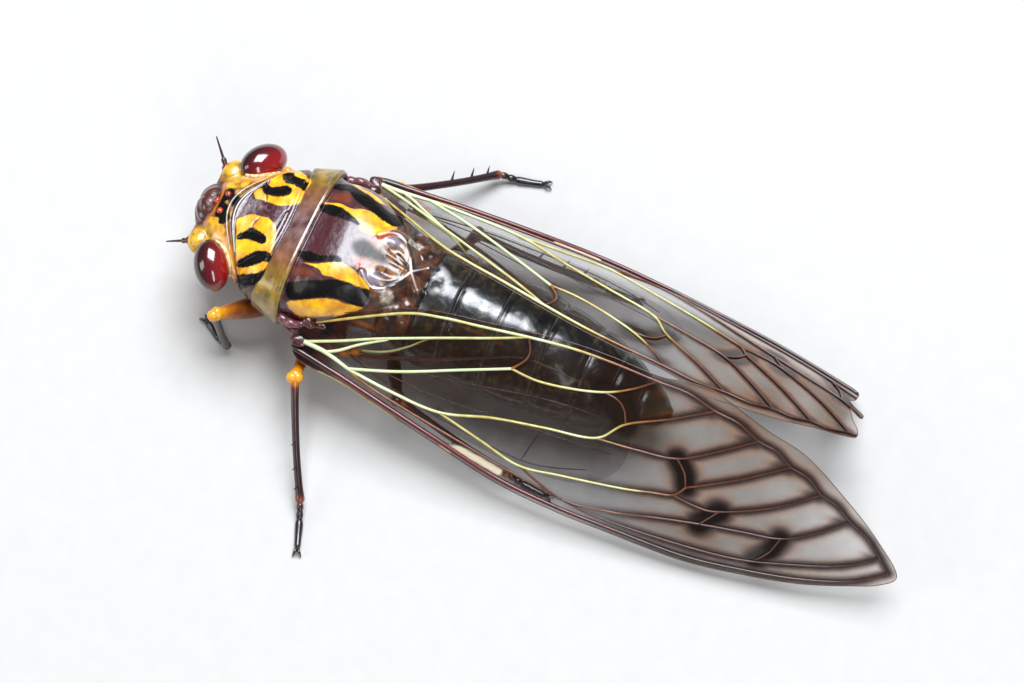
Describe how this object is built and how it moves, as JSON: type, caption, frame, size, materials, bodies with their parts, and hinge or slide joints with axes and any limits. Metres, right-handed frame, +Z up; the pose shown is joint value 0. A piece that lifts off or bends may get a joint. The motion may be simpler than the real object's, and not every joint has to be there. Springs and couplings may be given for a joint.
{
  "type": "cicada",
  "caption": "Life-size model of a Champaka wallacei cicada resting on its feet, wings folded roof-like over a black, orange and red-brown body.",
  "frame": {"origin": "on the ground plane under the feet, at the middle of the insect's outline seen from above", "axes": "+X to the insect's left, -Y the way it faces, +Y towards the wing tips, +Z up"},
  "size_m": [0.0352, 0.0594, 0.0116],
  "materials": {
    "head_cuticle": "wet, glossy yellow-orange and red-brown cuticle",
    "thorax_cuticle": "glossy cuticle, orange-yellow with black bars and a red-purple middle",
    "abdomen_cuticle": "glossy black cuticle with silver-white patches",
    "dark_cuticle": "glossy red-brown cuticle",
    "eye": "smooth glossy dark red",
    "wing_membrane": "clear, faintly smoky membrane with yellow-green to brown veins",
    "leg_brown": "glossy orange-brown cuticle",
    "leg_dark": "glossy dark purple-brown cuticle"
  },
  "bodies": {
    "root": {"head": "head_cuticle", "eye_left": "eye", "eye_right": "eye", "antenna_left": "dark_cuticle", "antenna_right": "dark_cuticle", "rostrum": "dark_cuticle", "pronotum": "thorax_cuticle", "mesothorax": "thorax_cuticle", "metathorax": "dark_cuticle", "abdomen": "abdomen_cuticle", "abdomen_tip": "abdomen_cuticle", "operculum_left": "dark_cuticle", "operculum_right": "dark_cuticle", "forewing_left": "wing_membrane", "forewing_right": "wing_membrane", "hindwing_left": "wing_membrane", "hindwing_right": "wing_membrane", "coxa_fore_left": "leg_brown", "femur_fore_left": "leg_brown", "tibia_fore_left": "leg_dark", "tarsus_fore_left": "leg_dark", "coxa_fore_right": "leg_brown", "femur_fore_right": "leg_brown", "tibia_fore_right": "leg_dark", "tarsus_fore_right": "leg_dark", "coxa_mid_left": "leg_brown", "femur_mid_left": "leg_brown", "tibia_mid_left": "leg_dark", "tarsus_mid_left": "leg_dark", "coxa_mid_right": "leg_brown", "femur_mid_right": "leg_brown", "tibia_mid_right": "leg_dark", "tarsus_mid_right": "leg_dark", "coxa_hind_left": "leg_brown", "femur_hind_left": "leg_brown", "tibia_hind_left": "leg_dark", "tarsus_hind_left": "leg_dark", "coxa_hind_right": "leg_brown", "femur_hind_right": "leg_brown", "tibia_hind_right": "leg_dark", "tarsus_hind_right": "leg_dark"}
  },
  "joints": []
}
